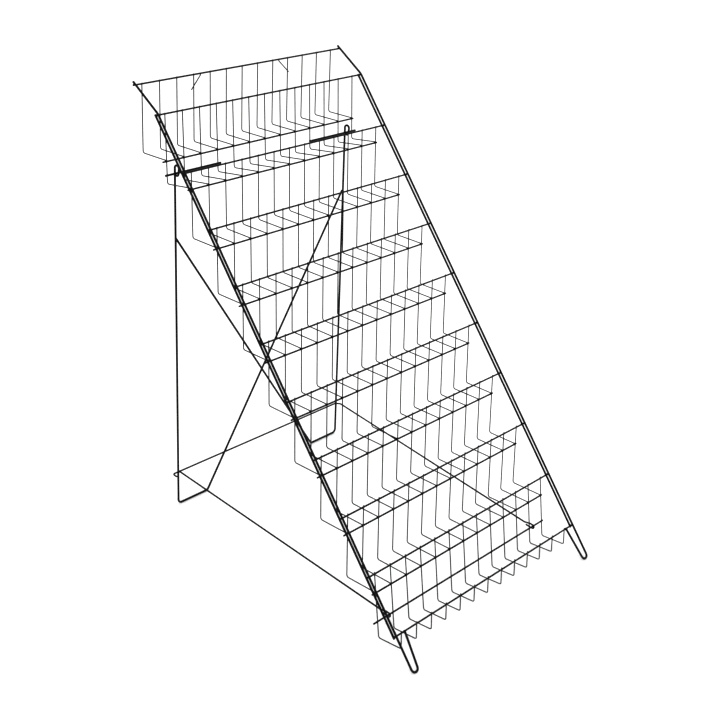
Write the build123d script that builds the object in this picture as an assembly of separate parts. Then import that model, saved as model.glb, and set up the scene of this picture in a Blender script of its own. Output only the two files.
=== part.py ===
from build123d import *
import math
import os

# Folding wire brochure rack: ten sloping wire pockets on two double side rails,
# held up by an X-braced rear leg frame and tied to it by a low stretcher.
# Units are millimetres. The side view is drawn square to the pockets (Y back, Z up)
# and the whole rack is then tipped back until its four feet stand on the floor.

# ---- wire stock ----
RAIL_D = 4.76
CROSS_D = 3.76
POCKET_D = 2.4
PIVOT_BAR_D = 4.76
RUNNING_GAP = 0.4

# ---- pockets ----
TIERS = 10
TIER_RUN = 71.0
TIER_RISE = 102.4
FIRST_TIER_EXTRA = 4.9
RAIL_X = 303.0
POCKET_WIRES = 13
POCKET_SPAN = 560.0
POCKET_DROP = 140.0
POCKET_BEND_R = 5.0
TOE_GAP = 0.3
FLOOR_WIRE_DROP = 46.0
FLOOR_WIRE_OVERHANG = 8.0
TOP_PANEL_RUN = 67.2
TOP_PANEL_RISE = 51.5
TOP_POCKET_DROP = 144.5
TOP_FLOOR_WIRE_DROP = 100.0
SECOND_POCKET_DROP = 146.0
SECOND_FLOOR_WIRE_DROP = 38.5
LAST_POCKET_DROP = 141.0
TOP_POCKET_KICK = -5.6
SECOND_POCKET_KICK = 0.0
POCKET_KICK = -1.7
LAST_POCKET_KICK = 13.0
LAST_LIP_DROP = 38.5
LAST_LIP_BEND_R = 4.0

# ---- side rails and front feet ----
RAIL_BEND_R = 25.0
RAIL_TIP = 6.0
KNEE_SETBACK = 4.5
REAR_RAIL_OVERRUN = 4.0
FOOT_DROP = 77.0
HAIRPIN_TOP_GAP = 26.0
HAIRPIN_FOOT_GAP = 16.4

# ---- leg frame ----
PIVOT_DROP = 127.0
PIVOT_BAR_IN = 135.0
PIVOT_BAR_OUT = 288.0
LEG_X = 258.0
LEG_LENGTH = 766.5
LEG_ANGLE = 2.2
LEG_FOOT_IN = 170.0
LEG_FOOT_R = 9.0
LEG_FOOT_SKEW = 0.85
BRACE_DROP = 141.0
EYE_HEIGHT = 16.7
EYE_BULGE = 3.2

# ---- hook bar and stretcher ----
HOOK_BAR_RISE = 32.5
HOOK_BAR_END = 289.0
HOOK_X = 249.0
LEFT_HOOK_X = 243.5
HOOK_TAIL = 17.0
HOOK_RAMP = 22.0
STRETCHER_LEG_DROP = 692.5
STRETCHER_SIDE_X = 272.0
STRETCHER_CHAMFER = 9.0
STRETCHER_BEHIND_LEG = 6.0
EYE_OUT = 10.0

# ---- sign clips ----
LEFT_CLIP_TOP_X = 123.0
LEFT_CLIP_LOW_X = 149.0
RIGHT_CLIP_TOP_X = 109.5
RIGHT_CLIP_LOW_X = 141.0
CLIP_DROP = 32.0


def touch(first_d, second_d):
    """Centre distance of two wires that just touch."""
    return (first_d + second_d) / 2


def bent_wire(points, radii, diameter):
    """A round wire along straight runs with a rounded bend at each inner point."""
    points = [Vector(*p) for p in points]
    edges = []
    start = points[0]
    for before, corner, after, radius in zip(points, points[1:], points[2:], radii):
        back = (before - corner).normalized()
        ahead = (after - corner).normalized()
        half = math.acos(max(-1.0, min(1.0, back.dot(ahead)))) / 2
        reach = radius / math.tan(half)
        bisector = (back + ahead).normalized()
        centre = corner + bisector * (radius / math.sin(half))
        arc_start = corner + back * reach
        arc_end = corner + ahead * reach
        edges.append(Edge.make_line(start, arc_start))
        arc_mid = centre - bisector * radius
        edges.append(Edge.make_three_point_arc(arc_start, arc_mid, arc_end))
        start = arc_end
    edges.append(Edge.make_line(start, points[-1]))
    path = Wire(edges)
    section = Plane(origin=points[0], z_dir=points[1] - points[0]) * Circle(diameter / 2)
    return sweep(section, path=path)


def straight_wire(start, end, diameter):
    start = Vector(*start)
    run = Vector(*end) - start
    return extrude(Plane(origin=start, z_dir=run) * Circle(diameter / 2), run.length)


def cross_bar(half_length, y, z, diameter):
    return straight_wire((-half_length, y, z), (half_length, y, z), diameter)


# ---- side view of the tiers ----
thin_offset = touch(CROSS_D, POCKET_D)
rail_offset = touch(RAIL_D, CROSS_D)
slope_length = math.hypot(TIER_RUN, TIER_RISE)
down = (-TIER_RUN / slope_length, -TIER_RISE / slope_length)
out = (down[1], -down[0])


def tier_cross(n):
    """Centre (y, z) of cross wire n; 0 is the top one and 10 the bottom one."""
    if n == 0:
        y, z = tier_cross(1)
        return y + TOP_PANEL_RUN, z + TOP_PANEL_RISE
    pitches = TIERS - n
    if n == 1:
        pitches += FIRST_TIER_EXTRA / slope_length
    return pitches * TIER_RUN, pitches * TIER_RISE


def along_rail(n, distance, offset):
    """Point on the main slope, past cross wire n and out from the cross wires' plane."""
    y, z = tier_cross(n)
    return (y + down[0] * distance + out[0] * offset,
            z + down[1] * distance + out[1] * offset)


def pocket_back(n):
    """Top and bottom (y, z) of the back of the pocket that hangs from cross wire n."""
    y, z = tier_cross(n)
    drop = {0: TOP_POCKET_DROP, 1: SECOND_POCKET_DROP, 9: LAST_POCKET_DROP}.get(n, POCKET_DROP)
    kick = {0: TOP_POCKET_KICK, 1: SECOND_POCKET_KICK, 9: LAST_POCKET_KICK}.get(n, POCKET_KICK)
    lean = kick / drop
    back_y = y + thin_offset * math.hypot(1, lean)
    return (back_y + 1.5 * lean, z + 1.5), (back_y - kick, z - drop)


def behind_back(n, z, diameter):
    """Centre (y, z) of a cross bar that touches the back wires of set n from behind."""
    top, heel = pocket_back(n)
    lean = (top[0] - heel[0]) / (top[1] - heel[1])
    return heel[0] + lean * (z - heel[1]) + touch(POCKET_D, diameter) * math.hypot(1, lean), z


def floor_wire(n):
    """Centre (y, z) of the floor wire on the back of the wires that hang from cross wire n."""
    drop = {1: TOP_FLOOR_WIRE_DROP, 2: SECOND_FLOOR_WIRE_DROP}.get(n, FLOOR_WIRE_DROP)
    return behind_back(n, tier_cross(n)[1] - drop, CROSS_D)


def pocket_profile(n):
    """Side view of one pocket wire: down the back, then forward along the floor."""
    top, heel = pocket_back(n)
    if n < TIERS - 1:
        bar_y, bar_z = floor_wire(n + 1)
        slope = (bar_z + thin_offset - heel[1]) / (bar_y - heel[0])
        rest_z = bar_z + thin_offset * math.hypot(1, slope)
        toe_y = behind_back(n + 1, bar_z + thin_offset, 2 * TOE_GAP)[0]
        toe_z = rest_z - slope * (bar_y - toe_y)
        return [top, heel, (toe_y, toe_z)], [POCKET_BEND_R]
    lip_y = tier_cross(TIERS)[0] + thin_offset
    lip_z = tier_cross(TIERS)[1]
    lip = [(lip_y, lip_z - LAST_LIP_DROP), (lip_y, lip_z + 1.5)]
    return [top, heel] + lip, [POCKET_BEND_R, LAST_LIP_BEND_R]


pocket_pitch = POCKET_SPAN / (POCKET_WIRES - 1)
pocket_x = [-POCKET_SPAN / 2 + i * pocket_pitch for i in range(POCKET_WIRES)]


def pocket_wires(n):
    profile, radii = pocket_profile(n)
    wire = bent_wire([(0, y, z) for y, z in profile], radii, POCKET_D)
    return [Pos(x, 0, 0) * wire for x in pocket_x]


# ---- side rails ----
def front_rail(side):
    """Free tip, bend, main slope, then a hairpin foot that turns back up to the last cross wire."""
    top_y, top_z = tier_cross(0)
    panel = math.hypot(TOP_PANEL_RUN, TOP_PANEL_RISE)
    panel_dir = (TOP_PANEL_RUN / panel, TOP_PANEL_RISE / panel)
    panel_out = (-panel_dir[1], panel_dir[0])
    tip = (top_y + panel_dir[0] * RAIL_TIP + panel_out[0] * rail_offset,
           top_z + panel_dir[1] * RAIL_TIP + panel_out[1] * rail_offset)
    knee_turn = (math.atan2(TIER_RISE, TIER_RUN) - math.atan2(TOP_PANEL_RISE, TOP_PANEL_RUN)) / 2
    knee = along_rail(1, -KNEE_SETBACK * math.tan(knee_turn), KNEE_SETBACK)
    low = along_rail(TIERS, FOOT_DROP, rail_offset)
    back_up = along_rail(TIERS, -3.0, rail_offset)
    x = side * RAIL_X
    turn_x = side * (RAIL_X - HAIRPIN_FOOT_GAP)
    weld_x = side * (RAIL_X - HAIRPIN_TOP_GAP)
    points = [(x, *tip), (x, *knee), (x, *low), (turn_x, *low), (weld_x, *back_up)]
    bend = HAIRPIN_FOOT_GAP / 2 - 0.1
    return bent_wire(points, [RAIL_BEND_R, bend, bend * 0.93], RAIL_D)


def rear_rail(side):
    x = side * RAIL_X
    top = along_rail(1, -REAR_RAIL_OVERRUN, -rail_offset)
    bottom = along_rail(TIERS, REAR_RAIL_OVERRUN, -rail_offset)
    return straight_wire((x, *top), (x, *bottom), RAIL_D)


# ---- leg frame, drawn from the pivot: drop is down the leg, back is behind the pivot ----
leg_back = touch(PIVOT_BAR_D, RAIL_D) + RUNNING_GAP
pivot_y, pivot_z = behind_back(1, tier_cross(1)[1] - PIVOT_DROP, PIVOT_BAR_D)
pivot_y -= 2 * touch(POCKET_D, PIVOT_BAR_D)


def leg_point(x, drop, back):
    angle = math.radians(LEG_ANGLE)
    return (x,
            pivot_y + drop * math.sin(angle) + back * math.cos(angle),
            pivot_z - drop * math.cos(angle) + back * math.sin(angle))


def leg_wire(side):
    """Eye round the pivot bar, leg, foot along the floor, and brace up to the other leg."""
    behind = -side
    foot_back = leg_back + behind * LEG_FOOT_SKEW
    brace_back = leg_back + behind * (RAIL_D + 0.02)
    x = side * LEG_X
    points = [
        leg_point(x, leg_back, 2.4),
        leg_point(x, leg_back, -leg_back),
        leg_point(x, -EYE_HEIGHT, -leg_back - EYE_BULGE),
        leg_point(x, -EYE_HEIGHT, leg_back),
        leg_point(x, LEG_LENGTH, leg_back),
        leg_point(side * LEG_FOOT_IN, LEG_LENGTH, foot_back),
        leg_point(-side * (LEG_X + RAIL_D / 2), BRACE_DROP, brace_back),
    ]
    return bent_wire(points, [4.6, 6.2, 6.2, LEG_FOOT_R, LEG_FOOT_R], RAIL_D)


# ---- hook bar and stretcher ----
hook_bar_z = tier_cross(TIERS - 1)[1] - LAST_POCKET_DROP + HOOK_BAR_RISE
hook_bar_y = behind_back(TIERS - 1, hook_bar_z, CROSS_D)[0]
hook_r = CROSS_D + RUNNING_GAP

rear_y, rear_z = leg_point(0, STRETCHER_LEG_DROP, leg_back + STRETCHER_BEHIND_LEG)[1:]
arm_length = math.hypot(rear_y - hook_bar_y, rear_z - hook_bar_z)
arm_dir = ((rear_y - hook_bar_y) / arm_length, (rear_z - hook_bar_z) / arm_length)
arm_up = (-arm_dir[1], arm_dir[0])


def arm_point(x, reach, lift):
    """Point on the stretcher: reach runs back from the hook bar, lift is square to the arm."""
    return (x,
            hook_bar_y + arm_dir[0] * reach + arm_up[0] * lift,
            hook_bar_z + arm_dir[1] * reach + arm_up[1] * lift)


def hook_points(x):
    """Tail under the hook bar, round its front, over the top and down a short ramp."""
    return [
        arm_point(x, HOOK_TAIL, -hook_r),
        arm_point(x, -hook_r, -hook_r),
        arm_point(x, -hook_r, hook_r),
        arm_point(x, HOOK_RAMP / 3, hook_r),
        arm_point(x, HOOK_RAMP, 0),
    ]


hook_bends = [hook_r - 0.05, hook_r - 0.05, 8.0, 12.0]


def stretcher_loop():
    """Right hook and arm, rear wire behind both legs, and an open eye round the left leg."""
    corner_x = STRETCHER_SIDE_X - STRETCHER_CHAMFER
    eye_x = -(LEG_X + EYE_OUT)
    eye_front = arm_length - 2 * STRETCHER_BEHIND_LEG
    points = hook_points(HOOK_X) + [
        arm_point(STRETCHER_SIDE_X, arm_length - STRETCHER_CHAMFER, 0),
        arm_point(corner_x, arm_length, 0),
        arm_point(eye_x, arm_length, 0),
        arm_point(eye_x, eye_front, 0),
        arm_point(eye_x + 3.0, eye_front - 0.6, 0),
    ]
    return bent_wire(points, hook_bends + [4.0, 4.0, 4.8, 2.4], CROSS_D)


def stretcher_left_arm():
    """Left hook and arm, welded to the front of the rear wire beside the left leg."""
    end = arm_point(-HOOK_X, arm_length - CROSS_D / 2 - 0.02, 0)
    return bent_wire(hook_points(-LEFT_HOOK_X) + [end], hook_bends, CROSS_D)


def sign_clip(side):
    """Short slanted wire under the top cross wire, welded to the front of a back wire."""
    top_x, low_x = {
        -1: (LEFT_CLIP_TOP_X, LEFT_CLIP_LOW_X),
        1: (RIGHT_CLIP_TOP_X, RIGHT_CLIP_LOW_X),
    }[side]
    top, heel = pocket_back(0)
    lean = (top[0] - heel[0]) / (top[1] - heel[1])
    start_z = tier_cross(0)[1] - thin_offset - 0.3
    end_z = tier_cross(0)[1] - CLIP_DROP
    start_y = top[0] + lean * (start_z - top[1]) - POCKET_D - 0.02
    end_y = top[0] + lean * (end_z - top[1]) - POCKET_D - 0.02
    return straight_wire((side * top_x, start_y, start_z), (side * low_x, end_y, end_z), POCKET_D)


# ---- every piece of wire ----
pieces = {}
for side, name in ((-1, "left"), (1, "right")):
    pieces[f"{name}_front_rail"] = [front_rail(side)]
    pieces[f"{name}_rear_rail"] = [rear_rail(side)]
    pieces[f"{name}_leg_wire"] = [leg_wire(side)]
    pieces[f"{name}_sign_clip"] = [sign_clip(side)]
    bar_ends = [(side * x, pivot_y, pivot_z) for x in (PIVOT_BAR_IN, PIVOT_BAR_OUT)]
    pieces[f"{name}_pivot_bar"] = [straight_wire(*bar_ends, PIVOT_BAR_D)]
for n in range(TIERS + 1):
    pieces[f"cross_wire_{n:02d}"] = [cross_bar(RAIL_X + RAIL_D / 2, *tier_cross(n), CROSS_D)]
for n in range(1, TIERS):
    bar = cross_bar(POCKET_SPAN / 2 + FLOOR_WIRE_OVERHANG, *floor_wire(n), CROSS_D)
    pieces[f"floor_wire_{n:02d}"] = [bar]
for n in range(TIERS):
    pieces[f"pocket_wires_{n + 1:02d}"] = pocket_wires(n)
pieces["hook_bar"] = [cross_bar(HOOK_BAR_END, hook_bar_y, hook_bar_z, CROSS_D)]
pieces["stretcher_loop"] = [stretcher_loop()]
pieces["stretcher_left_arm"] = [stretcher_left_arm()]

# ---- stand the rack on its feet, centred on the origin ----
front_foot = along_rail(TIERS, FOOT_DROP, rail_offset)
rear_foot = leg_point(0, LEG_LENGTH, leg_back)[1:]
foot_rise = rear_foot[1] - front_foot[1]
LEAN = math.degrees(math.atan2(foot_rise, rear_foot[0] - front_foot[0]))
tip_back = Rot(-LEAN, 0, 0)
stood = {name: [tip_back * wire for wire in wires] for name, wires in pieces.items()}
boxes = [wire.bounding_box() for wires in stood.values() for wire in wires]
middle_y = (min(b.min.Y for b in boxes) + max(b.max.Y for b in boxes)) / 2
floor_z = min(b.min.Z for b in boxes)
settle = Pos(0, -middle_y, -floor_z)

os.makedirs("parts", exist_ok=True)
for name, wires in stood.items():
    placed = [settle * wire for wire in wires]
    export_step(Compound(children=placed) if len(placed) > 1 else placed[0], f"parts/{name}.step")
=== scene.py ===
import math
import random

import bpy
from mathutils import Matrix, Vector


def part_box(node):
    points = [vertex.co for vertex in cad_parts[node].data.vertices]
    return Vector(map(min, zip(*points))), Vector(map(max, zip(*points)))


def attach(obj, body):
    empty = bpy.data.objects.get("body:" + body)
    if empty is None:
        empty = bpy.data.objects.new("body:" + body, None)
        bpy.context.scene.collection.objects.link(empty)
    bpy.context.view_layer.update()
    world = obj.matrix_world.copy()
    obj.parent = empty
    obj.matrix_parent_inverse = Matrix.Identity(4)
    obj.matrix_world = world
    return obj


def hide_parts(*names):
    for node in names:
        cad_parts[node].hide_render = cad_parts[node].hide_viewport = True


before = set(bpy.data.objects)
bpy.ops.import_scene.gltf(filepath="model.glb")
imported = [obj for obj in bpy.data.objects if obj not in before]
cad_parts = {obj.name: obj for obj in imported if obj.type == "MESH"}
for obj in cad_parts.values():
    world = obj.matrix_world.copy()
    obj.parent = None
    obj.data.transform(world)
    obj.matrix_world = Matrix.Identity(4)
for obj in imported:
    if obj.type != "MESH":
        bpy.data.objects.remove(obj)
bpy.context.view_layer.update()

# Every wire of the rack is drawn again as a round, smooth tube on the same centre line as its CAD
# node, with a small bead at each weld and a black powder coat over everything. Lengths are in
# millimetres, in the side view that is square to the pockets, until place() carries them over.

# ---- wire stock ----
RAIL_D = 4.76
CROSS_D = 3.76
POCKET_D = 2.4
PIVOT_BAR_D = 4.76
RUNNING_GAP = 0.4
WELD_GAP = 0.02

# ---- pockets; the dictionaries hold the sets that differ from the rest ----
TIERS = 10
TIER_RUN = 71.0
TIER_RISE = 102.4
FIRST_TIER_EXTRA = 4.9
TOP_PANEL_RUN = 67.2
TOP_PANEL_RISE = 51.5
POCKET_WIRES = 13
POCKET_SPAN = 560.0
POCKET_BEND_R = 5.0
POCKET_STUB = 1.5
POCKET_DROP = 140.0
POCKET_DROPS = {0: 144.5, 1: 146.0, 9: 141.0}
POCKET_KICK = -1.7
POCKET_KICKS = {0: -5.6, 1: 0.0, 9: 13.0}
TOE_GAP = 0.3
FLOOR_WIRE_DROP = 46.0
FLOOR_WIRE_DROPS = {1: 100.0, 2: 38.5}
FLOOR_WIRE_OVERHANG = 8.0
LAST_LIP_DROP = 38.5
LAST_LIP_BEND_R = 4.0

# ---- side rails and front feet ----
RAIL_X = 303.0
RAIL_BEND_R = 25.0
RAIL_TIP = 6.0
KNEE_SETBACK = 4.5
REAR_RAIL_OVERRUN = 4.0
FOOT_DROP = 77.0
HAIRPIN_TOP_GAP = 26.0
HAIRPIN_FOOT_GAP = 16.4
HAIRPIN_END_RISE = 3.0
HAIRPIN_BEND_SLACK = 0.1
HAIRPIN_SECOND_BEND = 0.93

# ---- leg frame ----
PIVOT_DROP = 127.0
PIVOT_BAR_IN = 135.0
PIVOT_BAR_OUT = 288.0
LEG_X = 258.0
LEG_LENGTH = 766.5
LEG_ANGLE = 2.2
LEG_FOOT_IN = 170.0
LEG_FOOT_R = 9.0
LEG_FOOT_SKEW = 0.85
BRACE_DROP = 141.0
EYE_HEIGHT = 16.7
EYE_BULGE = 3.2
EYE_TAIL = 2.4
EYE_BENDS = [4.6, 6.2, 6.2]

# ---- hook bar and stretcher ----
HOOK_BAR_RISE = 32.5
HOOK_BAR_END = 289.0
HOOK_X = 249.0
LEFT_HOOK_X = 243.5
HOOK_TAIL = 17.0
HOOK_RAMP = 22.0
HOOK_RAMP_BENDS = [8.0, 12.0]
HOOK_BEND_SLACK = 0.05
STRETCHER_LEG_DROP = 692.5
STRETCHER_SIDE_X = 272.0
STRETCHER_CHAMFER = 9.0
STRETCHER_BEHIND_LEG = 6.0
STRETCHER_BENDS = [4.0, 4.0, 4.8, 2.4]
STRETCHER_EYE_OUT = 10.0
STRETCHER_EYE_TIP_IN = 3.0
STRETCHER_EYE_TIP_FORWARD = 0.6

# ---- sign clips: top and low distance from the middle, for the left and the right one ----
CLIP_X = {-1: (123.0, 149.0), 1: (109.5, 141.0)}
CLIP_DROP = 32.0
CLIP_TOP_GAP = 0.3

# ---- weld beads: half length, half width and half height ----
POCKET_BEAD = (1.75, 1.75, 0.95)
RAIL_BEAD = (2.7, 2.7, 1.3)
PIVOT_BEAD = (1.9, 1.75, 1.0)
CLIP_TOP_BEAD = (1.5, 1.2, 0.9)
CLIP_BACK_BEAD = (1.3, 1.3, 0.7)
BRACE_BEAD = (4.2, 2.6, 1.5)
CROSSING_BEAD = (3.4, 2.8, 1.3)
STRETCHER_BEAD = (2.3, 2.3, 1.1)
HAIRPIN_BEAD_OUT = 0.4
BRACE_BEAD_DROP = 3
CLIP_BEAD_RISE = 0.6
BEAD_SMALLEST = 0.92
BEAD_LARGEST = 1.1


def touch(first_d, second_d):
    """Centre distance of two wires that just touch."""
    return (first_d + second_d) / 2


# ---- side view of the tiers, as (y, z) ----
thin_offset = touch(CROSS_D, POCKET_D)
rail_offset = touch(RAIL_D, CROSS_D)
slope_length = math.hypot(TIER_RUN, TIER_RISE)
down = (-TIER_RUN / slope_length, -TIER_RISE / slope_length)
out = (down[1], -down[0])


def tier_cross(n):
    """Centre of cross wire n; 0 is the top one and 10 the bottom one."""
    if n == 0:
        y, z = tier_cross(1)
        return y + TOP_PANEL_RUN, z + TOP_PANEL_RISE
    pitches = TIERS - n + (FIRST_TIER_EXTRA / slope_length if n == 1 else 0)
    return pitches * TIER_RUN, pitches * TIER_RISE


def along_rail(n, distance, offset):
    """Point on the main slope, past cross wire n and out from the cross wires' plane."""
    y, z = tier_cross(n)
    return (y + down[0] * distance + out[0] * offset, z + down[1] * distance + out[1] * offset)


def pocket_back(n):
    """Top and bottom of the back of the pocket that hangs from cross wire n."""
    y, z = tier_cross(n)
    drop = POCKET_DROPS.get(n, POCKET_DROP)
    kick = POCKET_KICKS.get(n, POCKET_KICK)
    lean = kick / drop
    back_y = y + thin_offset * math.hypot(1, lean)
    return (back_y + POCKET_STUB * lean, z + POCKET_STUB), (back_y - kick, z - drop)


def back_line(n, z):
    """Y of the back wires of set n at height z, and their lean."""
    top, heel = pocket_back(n)
    lean = (top[0] - heel[0]) / (top[1] - heel[1])
    return heel[0] + lean * (z - heel[1]), lean


def behind_back(n, z, diameter):
    """Centre of a bar that touches the back wires of set n from behind."""
    y, lean = back_line(n, z)
    return y + touch(POCKET_D, diameter) * math.hypot(1, lean), z


def floor_wire(n):
    """Centre of the floor wire on the backs of the wires that hang from cross wire n."""
    drop = FLOOR_WIRE_DROPS.get(n, FLOOR_WIRE_DROP)
    return behind_back(n, tier_cross(n)[1] - drop, CROSS_D)


def pocket_profile(n):
    """Side view of one pocket wire: down the back, then forward along the floor."""
    top, heel = pocket_back(n)
    if n < TIERS - 1:
        bar_y, bar_z = floor_wire(n + 1)
        rise = (bar_z + thin_offset - heel[1]) / (bar_y - heel[0])
        toe_y = behind_back(n + 1, bar_z + thin_offset, 2 * TOE_GAP)[0]
        toe_z = bar_z + thin_offset * math.hypot(1, rise) - rise * (bar_y - toe_y)
        return [top, heel, (toe_y, toe_z)], [POCKET_BEND_R]
    y, z = tier_cross(TIERS)
    lip_y = y + thin_offset
    lip = [(lip_y, z - LAST_LIP_DROP), (lip_y, z + POCKET_STUB)]
    return [top, heel] + lip, [POCKET_BEND_R, LAST_LIP_BEND_R]


pocket_x = [-POCKET_SPAN / 2 + i * POCKET_SPAN / (POCKET_WIRES - 1) for i in range(POCKET_WIRES)]


# ---- wires: each function gives the corner points, their bend radii and the diameter ----
def front_rail(side):
    """Free tip, bend, main slope, then a hairpin foot that turns back up to the last cross wire."""
    top_y, top_z = tier_cross(0)
    panel = math.hypot(TOP_PANEL_RUN, TOP_PANEL_RISE)
    along = (TOP_PANEL_RUN / panel, TOP_PANEL_RISE / panel)
    tip = (top_y + along[0] * RAIL_TIP - along[1] * rail_offset,
           top_z + along[1] * RAIL_TIP + along[0] * rail_offset)
    turn = (math.atan2(TIER_RISE, TIER_RUN) - math.atan2(TOP_PANEL_RISE, TOP_PANEL_RUN)) / 2
    knee = along_rail(1, -KNEE_SETBACK * math.tan(turn), KNEE_SETBACK)
    low = along_rail(TIERS, FOOT_DROP, rail_offset)
    back_up = along_rail(TIERS, -HAIRPIN_END_RISE, rail_offset)
    x = side * RAIL_X
    turn_x = side * (RAIL_X - HAIRPIN_FOOT_GAP)
    weld_x = side * (RAIL_X - HAIRPIN_TOP_GAP)
    bend = HAIRPIN_FOOT_GAP / 2 - HAIRPIN_BEND_SLACK
    points = [(x, *tip), (x, *knee), (x, *low), (turn_x, *low), (weld_x, *back_up)]
    return points, [RAIL_BEND_R, bend, bend * HAIRPIN_SECOND_BEND], RAIL_D


def rear_rail(side):
    top = along_rail(1, -REAR_RAIL_OVERRUN, -rail_offset)
    bottom = along_rail(TIERS, REAR_RAIL_OVERRUN, -rail_offset)
    return [(side * RAIL_X, *top), (side * RAIL_X, *bottom)], [], RAIL_D


leg_back = touch(PIVOT_BAR_D, RAIL_D) + RUNNING_GAP
pivot_y, pivot_z = behind_back(1, tier_cross(1)[1] - PIVOT_DROP, PIVOT_BAR_D)
pivot_y -= 2 * touch(POCKET_D, PIVOT_BAR_D)


def leg_point(x, drop, back):
    """Point on the leg frame: drop is down the leg from the pivot, back is behind the pivot."""
    angle = math.radians(LEG_ANGLE)
    return (x,
            pivot_y + drop * math.sin(angle) + back * math.cos(angle),
            pivot_z - drop * math.cos(angle) + back * math.sin(angle))


def leg_wire(side):
    """Eye round the pivot bar, leg, foot along the floor, and brace up to the other leg."""
    behind = -side
    x = side * LEG_X
    foot_back = leg_back + behind * LEG_FOOT_SKEW
    brace_back = leg_back + behind * (RAIL_D + WELD_GAP)
    points = [
        leg_point(x, leg_back, EYE_TAIL),
        leg_point(x, leg_back, -leg_back),
        leg_point(x, -EYE_HEIGHT, -leg_back - EYE_BULGE),
        leg_point(x, -EYE_HEIGHT, leg_back),
        leg_point(x, LEG_LENGTH, leg_back),
        leg_point(side * LEG_FOOT_IN, LEG_LENGTH, foot_back),
        leg_point(-side * (LEG_X + RAIL_D / 2), BRACE_DROP, brace_back),
    ]
    return points, EYE_BENDS + [LEG_FOOT_R, LEG_FOOT_R], RAIL_D


hook_bar_z = tier_cross(TIERS - 1)[1] - POCKET_DROPS[TIERS - 1] + HOOK_BAR_RISE
hook_bar_y = behind_back(TIERS - 1, hook_bar_z, CROSS_D)[0]
back_lean = back_line(TIERS - 1, hook_bar_z)[1]
hook_r = CROSS_D + RUNNING_GAP
rear_y, rear_z = leg_point(0, STRETCHER_LEG_DROP, leg_back + STRETCHER_BEHIND_LEG)[1:]
arm_length = math.hypot(rear_y - hook_bar_y, rear_z - hook_bar_z)
arm_dir = ((rear_y - hook_bar_y) / arm_length, (rear_z - hook_bar_z) / arm_length)


def arm_point(x, reach, lift):
    """Point on the stretcher: reach runs back from the hook bar, lift is square to the arm."""
    return (x,
            hook_bar_y + arm_dir[0] * reach - arm_dir[1] * lift,
            hook_bar_z + arm_dir[1] * reach + arm_dir[0] * lift)


def hook_points(x):
    """Tail under the hook bar, round its front, over the top and down a short ramp."""
    return [
        arm_point(x, HOOK_TAIL, -hook_r),
        arm_point(x, -hook_r, -hook_r),
        arm_point(x, -hook_r, hook_r),
        arm_point(x, HOOK_RAMP / 3, hook_r),
        arm_point(x, HOOK_RAMP, 0),
    ]


hook_bends = [hook_r - HOOK_BEND_SLACK] * 2 + HOOK_RAMP_BENDS


def stretcher_loop():
    """Right hook and arm, rear wire behind both legs, and an open eye round the left leg."""
    corner_x = STRETCHER_SIDE_X - STRETCHER_CHAMFER
    eye_x = -(LEG_X + STRETCHER_EYE_OUT)
    eye_front = arm_length - 2 * STRETCHER_BEHIND_LEG
    points = hook_points(HOOK_X) + [
        arm_point(STRETCHER_SIDE_X, arm_length - STRETCHER_CHAMFER, 0),
        arm_point(corner_x, arm_length, 0),
        arm_point(eye_x, arm_length, 0),
        arm_point(eye_x, eye_front, 0),
        arm_point(eye_x + STRETCHER_EYE_TIP_IN, eye_front - STRETCHER_EYE_TIP_FORWARD, 0),
    ]
    return points, hook_bends + STRETCHER_BENDS, CROSS_D


def stretcher_left_arm():
    """Left hook and arm, welded to the front of the rear wire beside the left leg."""
    end = arm_point(-HOOK_X, arm_length - CROSS_D / 2 - WELD_GAP, 0)
    return hook_points(-LEFT_HOOK_X) + [end], hook_bends, CROSS_D


def sign_clip(side):
    """Short slanted wire under the top cross wire, welded to the front of a back wire."""
    top_x, low_x = CLIP_X[side]
    start_z = tier_cross(0)[1] - thin_offset - CLIP_TOP_GAP
    end_z = tier_cross(0)[1] - CLIP_DROP
    start = (side * top_x, back_line(0, start_z)[0] - POCKET_D - WELD_GAP, start_z)
    end = (side * low_x, back_line(0, end_z)[0] - POCKET_D - WELD_GAP, end_z)
    return [start, end], [], POCKET_D


def bar(half, y, z, diameter):
    return [(-half, y, z), (half, y, z)], [], diameter


# ---- place: tip the drawn side view back onto its feet, then settle it on the CAD frame ----
front_foot = along_rail(TIERS, FOOT_DROP, rail_offset)
rear_foot = leg_point(0, LEG_LENGTH, leg_back)[1:]
lean_angle = math.atan2(rear_foot[1] - front_foot[1], rear_foot[0] - front_foot[0])
tip_back = Matrix.Rotation(-lean_angle, 3, "X")
bar_low, bar_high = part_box("hook_bar")
settle = (bar_low + bar_high) / 2 - tip_back @ Vector((0, hook_bar_y, hook_bar_z)) / 1000


def place(point):
    """A drawn point, in millimetres, carried into the CAD frame, in metres."""
    return tip_back @ Vector(point) / 1000 + settle


# ---- tubes and beads ----
FACETS = 16
ARC_STEP = math.radians(9)
SHEARED_CHAMFER = 0.00035
CHAMFER_SHARE = 0.28
BEAD_STACKS = 5
BEAD_FACETS = 10
SMOOTH_ANGLE = math.radians(42)


def centre_line(points, radii):
    """Straight runs with a rounded bend of the given radius at each inner point that has one."""
    points = [place(p) for p in points]
    line = [points[0]]
    for before, corner, after, radius in zip(points, points[1:], points[2:], radii):
        radius = radius / 1000
        back = (before - corner).normalized()
        ahead = (after - corner).normalized()
        half = back.angle(ahead) / 2
        reach = radius / math.tan(half)
        centre = corner + (back + ahead).normalized() * (radius / math.sin(half))
        first = corner + back * reach - centre
        sweep = math.pi - 2 * half
        axis = first.cross(corner + ahead * reach - centre).normalized()
        steps = max(2, math.ceil(sweep / ARC_STEP))
        for i in range(steps + 1):
            line.append(centre + Matrix.Rotation(sweep * i / steps, 3, axis) @ first)
    line.append(points[-1])
    return line


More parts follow.
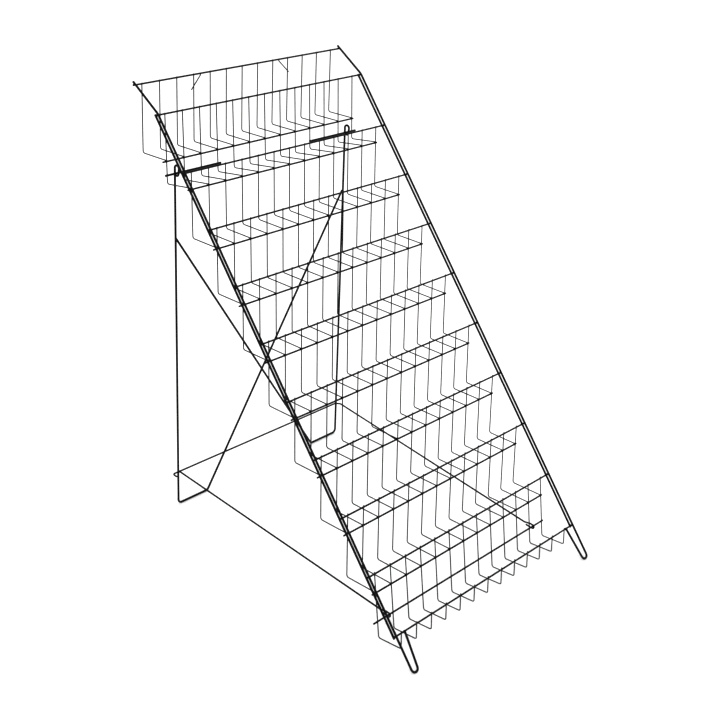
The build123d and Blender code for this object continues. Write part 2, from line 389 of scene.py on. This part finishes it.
def tube(points, radii, diameter):
    """Vertices and faces of one round wire whose sheared ends are lightly broken."""
    line = centre_line(points, radii)
    radius = diameter / 2000
    chamfer = min(SHEARED_CHAMFER, radius * CHAMFER_SHARE)
    first = (line[1] - line[0]).normalized()
    last = (line[-1] - line[-2]).normalized()
    rings = [(line[0], radius - chamfer), (line[0] + first * chamfer, radius)]
    rings += [(point, radius) for point in line[1:-1]]
    rings += [(line[-1] - last * chamfer, radius), (line[-1], radius - chamfer)]
    centres = [ring[0] for ring in rings]
    side = first.orthogonal().normalized()
    verts, faces = [], []
    previous = first
    for i, (centre, ring_radius) in enumerate(rings):
        if i == 0 or i == len(rings) - 1:
            tangent = first if i == 0 else last
        else:
            ahead = (centres[i + 1] - centre).normalized()
            behind = (centre - centres[i - 1]).normalized()
            tangent = (ahead + behind).normalized()
        side = previous.rotation_difference(tangent) @ side
        side = (side - tangent * side.dot(tangent)).normalized()
        up = tangent.cross(side)
        previous = tangent
        for k in range(FACETS):
            turn = 2 * math.pi * k / FACETS
            verts.append(centre + (side * math.cos(turn) + up * math.sin(turn)) * ring_radius)
    for i in range(len(rings) - 1):
        low, high = i * FACETS, (i + 1) * FACETS
        for k in range(FACETS):
            n = (k + 1) % FACETS
            faces.append((low + k, low + n, high + n, high + k))
    faces.append(tuple(range(FACETS - 1, -1, -1)))
    faces.append(tuple((len(rings) - 1) * FACETS + k for k in range(FACETS)))
    return verts, faces


def nugget(centre, normal, along, reach, spread, height):
    """A small smooth weld bead: an ellipsoid in the crotch where two wires touch."""
    centre = place(centre)
    normal = (tip_back @ Vector(normal)).normalized()
    along = tip_back @ Vector(along)
    along = (along - normal * along.dot(normal)).normalized()
    across = normal.cross(along)
    wobble = random.uniform(BEAD_SMALLEST, BEAD_LARGEST)
    verts, faces = [], []
    for i in range(1, BEAD_STACKS):
        lat = math.pi * i / BEAD_STACKS
        for k in range(BEAD_FACETS):
            lon = 2 * math.pi * k / BEAD_FACETS
            verts.append(centre + (along * (reach * math.sin(lat) * math.cos(lon))
                                   + across * (spread * math.sin(lat) * math.sin(lon))
                                   + normal * (height * math.cos(lat))) * wobble / 1000)
    top, bottom = len(verts), len(verts) + 1
    cap = normal * height * wobble / 1000
    verts += [centre + cap, centre - cap]
    for i in range(BEAD_STACKS - 2):
        high, low = i * BEAD_FACETS, (i + 1) * BEAD_FACETS
        for k in range(BEAD_FACETS):
            n = (k + 1) % BEAD_FACETS
            faces.append((high + k, low + k, low + n, high + n))
    last_row = (BEAD_STACKS - 2) * BEAD_FACETS
    for k in range(BEAD_FACETS):
        n = (k + 1) % BEAD_FACETS
        faces.append((top, k, n))
        faces.append((bottom, last_row + n, last_row + k))
    return verts, faces


def build(name, shapes, body, material, replaces=()):
    """One piece made of several tubes or beads, riding on its body."""
    verts, faces = [], []
    for shape_verts, shape_faces in shapes:
        base = len(verts)
        verts += shape_verts
        faces += [tuple(i + base for i in face) for face in shape_faces]
    mesh = bpy.data.meshes.new(name)
    mesh.from_pydata([tuple(v) for v in verts], [], faces)
    mesh.validate()
    for polygon in mesh.polygons:
        polygon.use_smooth = True
    mesh.set_sharp_from_angle(angle=SMOOTH_ANGLE)
    mesh.materials.append(material)
    obj = bpy.data.objects.new(name, mesh)
    bpy.context.scene.collection.objects.link(obj)
    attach(obj, body)
    for node in replaces:
        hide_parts(node)


# ---- materials ----
MOTTLE_SCALE = 38.0
SHEEN_SCALE = 160.0
PEEL_SCALE = 1300.0
PEEL_DEPTH = 0.0001


def powder_coat(name, dark, light, roughness, peel):
    """Semi-gloss black powder coat: faint mottling, uneven sheen and a fine orange-peel surface."""
    material = bpy.data.materials.new(name)
    material.use_nodes = True
    nodes, links = material.node_tree.nodes, material.node_tree.links
    shader = nodes["Principled BSDF"]
    where = nodes.new("ShaderNodeTexCoord")

    def noise(scale, detail, source, result):
        """Noise whose values between the source limits are spread over the result limits."""
        texture = nodes.new("ShaderNodeTexNoise")
        texture.inputs["Scale"].default_value = scale
        texture.inputs["Detail"].default_value = detail
        links.new(where.outputs["Object"], texture.inputs["Vector"])
        spread = nodes.new("ShaderNodeMapRange")
        spread.inputs["From Min"].default_value = source[0]
        spread.inputs["From Max"].default_value = source[1]
        spread.inputs["To Min"].default_value = result[0]
        spread.inputs["To Max"].default_value = result[1]
        links.new(texture.outputs["Fac"], spread.inputs["Value"])
        return spread.outputs["Result"]

    colour = nodes.new("ShaderNodeMix")
    colour.data_type = "RGBA"
    colour.inputs["A"].default_value = (*dark, 1)
    colour.inputs["B"].default_value = (*light, 1)
    links.new(noise(MOTTLE_SCALE, 4.0, (0.3, 0.7), (0.0, 1.0)), colour.inputs["Factor"])
    links.new(colour.outputs["Result"], shader.inputs["Base Color"])
    links.new(noise(SHEEN_SCALE, 5.0, (0.3, 0.7), roughness), shader.inputs["Roughness"])
    bump = nodes.new("ShaderNodeBump")
    bump.inputs["Strength"].default_value = peel
    bump.inputs["Distance"].default_value = PEEL_DEPTH
    links.new(noise(PEEL_SCALE, 2.0, (0.25, 0.75), (0.0, 1.0)), bump.inputs["Height"])
    links.new(bump.outputs["Normal"], shader.inputs["Normal"])
    shader.inputs["Metallic"].default_value = 0.0
    shader.inputs["IOR"].default_value = 1.5
    shader.inputs["Specular IOR Level"].default_value = 0.13
    return material


wire_coat = powder_coat(
    "black_powder_coat", dark=(0.001, 0.001, 0.002), light=(0.0028, 0.0028, 0.0046),
    roughness=(0.30, 0.44), peel=0.35)
weld_coat = powder_coat(
    "coated_weld", dark=(0.0009, 0.0009, 0.0018), light=(0.0025, 0.0025, 0.004),
    roughness=(0.26, 0.40), peel=0.5)

# ---- wires ----
random.seed(7)
for side, name in ((-1, "left"), (1, "right")):
    build(f"{name}_front_rail_wire", [tube(*front_rail(side))], "rack", wire_coat, [f"{name}_front_rail"])
    build(f"{name}_rear_rail_wire", [tube(*rear_rail(side))], "rack", wire_coat, [f"{name}_rear_rail"])
    build(f"{name}_sign_clip_wire", [tube(*sign_clip(side))], "rack", wire_coat, [f"{name}_sign_clip"])
    ends = [(side * x, pivot_y, pivot_z) for x in (PIVOT_BAR_IN, PIVOT_BAR_OUT)]
    build(f"{name}_pivot_bar_wire", [tube(ends, [], PIVOT_BAR_D)], "rack", wire_coat, [f"{name}_pivot_bar"])
    build(f"{name}_leg_round_wire", [tube(*leg_wire(side))], "leg_frame", wire_coat, [f"{name}_leg_wire"])
for n in range(TIERS + 1):
    shape = tube(*bar(RAIL_X + RAIL_D / 2, *tier_cross(n), CROSS_D))
    build(f"cross_bar_{n:02d}", [shape], "rack", wire_coat, [f"cross_wire_{n:02d}"])
for n in range(1, TIERS):
    shape = tube(*bar(POCKET_SPAN / 2 + FLOOR_WIRE_OVERHANG, *floor_wire(n), CROSS_D))
    build(f"floor_bar_{n:02d}", [shape], "rack", wire_coat, [f"floor_wire_{n:02d}"])
for n in range(TIERS):
    profile, radii = pocket_profile(n)
    wires = [tube([(x, y, z) for y, z in profile], radii, POCKET_D) for x in pocket_x]
    build(f"pocket_bent_wires_{n + 1:02d}", wires, "rack", wire_coat, [f"pocket_wires_{n + 1:02d}"])
hook_bar = tube(*bar(HOOK_BAR_END, hook_bar_y, hook_bar_z, CROSS_D))
build("hook_bar_wire", [hook_bar], "rack", wire_coat, ["hook_bar"])
build("stretcher_loop_wire", [tube(*stretcher_loop())], "stretcher", wire_coat, ["stretcher_loop"])
left_arm = tube(*stretcher_left_arm())
build("stretcher_left_arm_wire", [left_arm], "stretcher", wire_coat, ["stretcher_left_arm"])

# ---- welds ----
X, Y, Z = (1, 0, 0), (0, 1, 0), (0, 0, 1)
for n in range(TIERS + 1):
    y, z = tier_cross(n)
    beads = [nugget((x, y + CROSS_D / 2, z), Y, X, *POCKET_BEAD) for x in pocket_x]
    if n > 0:
        for offset in (CROSS_D / 2, -CROSS_D / 2):
            for side in (-1, 1):
                spot = along_rail(n, 0, offset)
                beads.append(nugget((side * RAIL_X, *spot), (0, *out), X, *RAIL_BEAD))
    else:
        panel = math.hypot(TOP_PANEL_RUN, TOP_PANEL_RISE)
        normal = (0, -TOP_PANEL_RISE / panel, TOP_PANEL_RUN / panel)
        for side in (-1, 1):
            spot = (side * RAIL_X, y + normal[1] * CROSS_D / 2, z + normal[2] * CROSS_D / 2)
            beads.append(nugget(spot, normal, X, *RAIL_BEAD))
    if n == TIERS:
        for side in (-1, 1):
            spot = along_rail(n, 0, CROSS_D / 2)
            hairpin_x = side * (RAIL_X - HAIRPIN_TOP_GAP + HAIRPIN_BEAD_OUT)
            beads.append(nugget((hairpin_x, *spot), (0, *out), X, *RAIL_BEAD))
    build(f"welds_cross_{n:02d}", beads, "rack", weld_coat)
for n in range(1, TIERS):
    y, z = floor_wire(n)
    beads = [nugget((x, y - CROSS_D / 2, z), Y, X, *POCKET_BEAD) for x in pocket_x]
    beads += [nugget((x, y, z + CROSS_D / 2), Z, X, *POCKET_BEAD) for x in pocket_x]
    build(f"welds_floor_{n:02d}", beads, "rack", weld_coat)

tangent = (0, back_lean / math.hypot(1, back_lean), 1 / math.hypot(1, back_lean))
normal = (0, tangent[2], -tangent[1])
spot = (hook_bar_y - normal[1] * CROSS_D / 2, hook_bar_z - normal[2] * CROSS_D / 2)
beads = [nugget((x, *spot), normal, X, *POCKET_BEAD) for x in pocket_x]
build("welds_hook_bar", beads, "rack", weld_coat)
beads = [nugget((x, pivot_y + PIVOT_BAR_D / 2, pivot_z), Y, X, *PIVOT_BEAD)
         for x in pocket_x if abs(x) > PIVOT_BAR_IN]
build("welds_pivot_bars", beads, "rack", weld_coat)

clip_wire_x = POCKET_SPAN / 4
clip_z = tier_cross(0)[1] - thin_offset
clip_slant = CLIP_DROP - thin_offset - CLIP_TOP_GAP
beads = []
for side in (-1, 1):
    top_x, low_x = CLIP_X[side]
    clip_y = back_line(0, clip_z)[0] - POCKET_D
    beads.append(nugget((side * top_x, clip_y, clip_z + CLIP_BEAD_RISE), Z, X, *CLIP_TOP_BEAD))
    share = (clip_wire_x - top_x) / (low_x - top_x)
    cross_z = clip_z - CLIP_TOP_GAP - share * clip_slant
    spot = (side * clip_wire_x, back_line(0, cross_z)[0] - POCKET_D / 2, cross_z)
    beads.append(nugget(spot, Y, X, *CLIP_BACK_BEAD))
build("welds_sign_clips", beads, "rack", weld_coat)

leg_normal = Vector(leg_point(0, 0, 1)) - Vector(leg_point(0, 0, 0))
beads = []
for side in (-1, 1):
    spot = leg_point(-side * LEG_X, BRACE_DROP + BRACE_BEAD_DROP, leg_back - side * RAIL_D / 2)
    beads.append(nugget(spot, leg_normal, Z, *BRACE_BEAD))
brace_width = LEG_X + LEG_FOOT_IN
crossing_drop = LEG_LENGTH - (LEG_LENGTH - BRACE_DROP) * LEG_FOOT_IN / brace_width
beads.append(nugget(leg_point(0, crossing_drop, leg_back), leg_normal, Z, *CROSSING_BEAD))
build("welds_leg_frame", beads, "leg_frame", weld_coat)
bead = nugget(arm_point(-HOOK_X, arm_length - CROSS_D / 2, 0), (0, *arm_dir), X, *STRETCHER_BEAD)
build("weld_stretcher", [bead], "stretcher", weld_coat)


# ---- camera: its place is in drawn millimetres and its angles are in radians ----
CAMERA_PLACE = (-2126.02, -1523.01, 1533.84)
CAMERA_YAW = 0.84704
CAMERA_PITCH = 0.34459
CAMERA_ROLL = 0.00878
SENSOR_WIDTH = 36.0
LENS = 71.307
SHIFT_X = -0.00507
SHIFT_Y = -0.07696
FARTHEST_SEEN = 60.0


def aim(camera, position, yaw, pitch, roll):
    """Yaw from +Y towards +X and pitch below the horizon, as drawn, then carried into the CAD frame."""
    forward = Vector((math.sin(yaw) * math.cos(pitch), math.cos(yaw) * math.cos(pitch), -math.sin(pitch)))
    right = Vector((math.cos(yaw), -math.sin(yaw), 0))
    up = right.cross(forward)
    c, s = math.cos(roll), math.sin(roll)
    right, up = right * c + up * s, up * c - right * s
    axes = [tip_back @ v for v in (right, up, -forward)]
    camera.matrix_world = Matrix((
        (axes[0].x, axes[1].x, axes[2].x, 0), (axes[0].y, axes[1].y, axes[2].y, 0),
        (axes[0].z, axes[1].z, axes[2].z, 0), (0, 0, 0, 1)))
    camera.location = place(position)


data = bpy.data.cameras.new("camera")
camera = bpy.data.objects.new("camera", data)
bpy.context.scene.collection.objects.link(camera)
data.sensor_width = SENSOR_WIDTH
data.lens = LENS
data.shift_x = SHIFT_X
data.shift_y = SHIFT_Y
data.clip_end = FARTHEST_SEEN
aim(camera, CAMERA_PLACE, CAMERA_YAW, CAMERA_PITCH, CAMERA_ROLL)
bpy.context.scene.camera = camera

# ---- studio: a wide paper floor just under the feet, and soft light ----
FLOOR_HALF = 30.0
FLOOR_BELOW = 0.0004
PAPER_WHITE = 0.93
WORLD_STRENGTH = 1.1
DISPLAY_GAMMA = 0.75

floor_mesh = bpy.data.meshes.new("floor")
floor_corners = [(x * FLOOR_HALF, y * FLOOR_HALF, 0) for x, y in ((-1, -1), (1, -1), (1, 1), (-1, 1))]
floor_mesh.from_pydata(floor_corners, [], [(0, 1, 2, 3)])
floor = bpy.data.objects.new("floor", floor_mesh)
bpy.context.scene.collection.objects.link(floor)
floor.location.z = -FLOOR_BELOW
paper = bpy.data.materials.new("paper_floor")
paper.use_nodes = True
paper_shader = paper.node_tree.nodes["Principled BSDF"]
paper_shader.inputs["Base Color"].default_value = (PAPER_WHITE, PAPER_WHITE, PAPER_WHITE, 1)
paper_shader.inputs["Roughness"].default_value = 0.9
paper_shader.inputs["Specular IOR Level"].default_value = 0.1
floor_mesh.materials.append(paper)

# Shown without a film curve, and with a gamma that keeps wires thinner than a pixel dark.
bpy.context.scene.view_settings.view_transform = "Standard"
bpy.context.scene.view_settings.gamma = DISPLAY_GAMMA
world = bpy.data.worlds.new("studio")
bpy.context.scene.world = world
world.use_nodes = True
world.node_tree.nodes["Background"].inputs["Color"].default_value = (1.0, 1.0, 1.0, 1)
world.node_tree.nodes["Background"].inputs["Strength"].default_value = WORLD_STRENGTH


def soft_light(name, position, target, size, power):
    """A square area light, size in metres and power in watts, turned towards its target."""
    light = bpy.data.lights.new(name, "AREA")
    light.shape = "SQUARE"
    light.size = size
    light.energy = power
    lamp = bpy.data.objects.new(name, light)
    bpy.context.scene.collection.objects.link(lamp)
    lamp.location = position
    lamp.rotation_euler = (Vector(target) - Vector(position)).to_track_quat("-Z", "Y").to_euler()


soft_light("key", position=(-2.6, -1.8, 3.6), target=(0, 0, 0.4), size=2.2, power=60)
soft_light("fill", position=(2.8, -2.2, 2.2), target=(0, 0, 0.4), size=2.4, power=20)
soft_light("back", position=(0.4, 3.4, 2.8), target=(0, 0, 0.5), size=2.4, power=25)
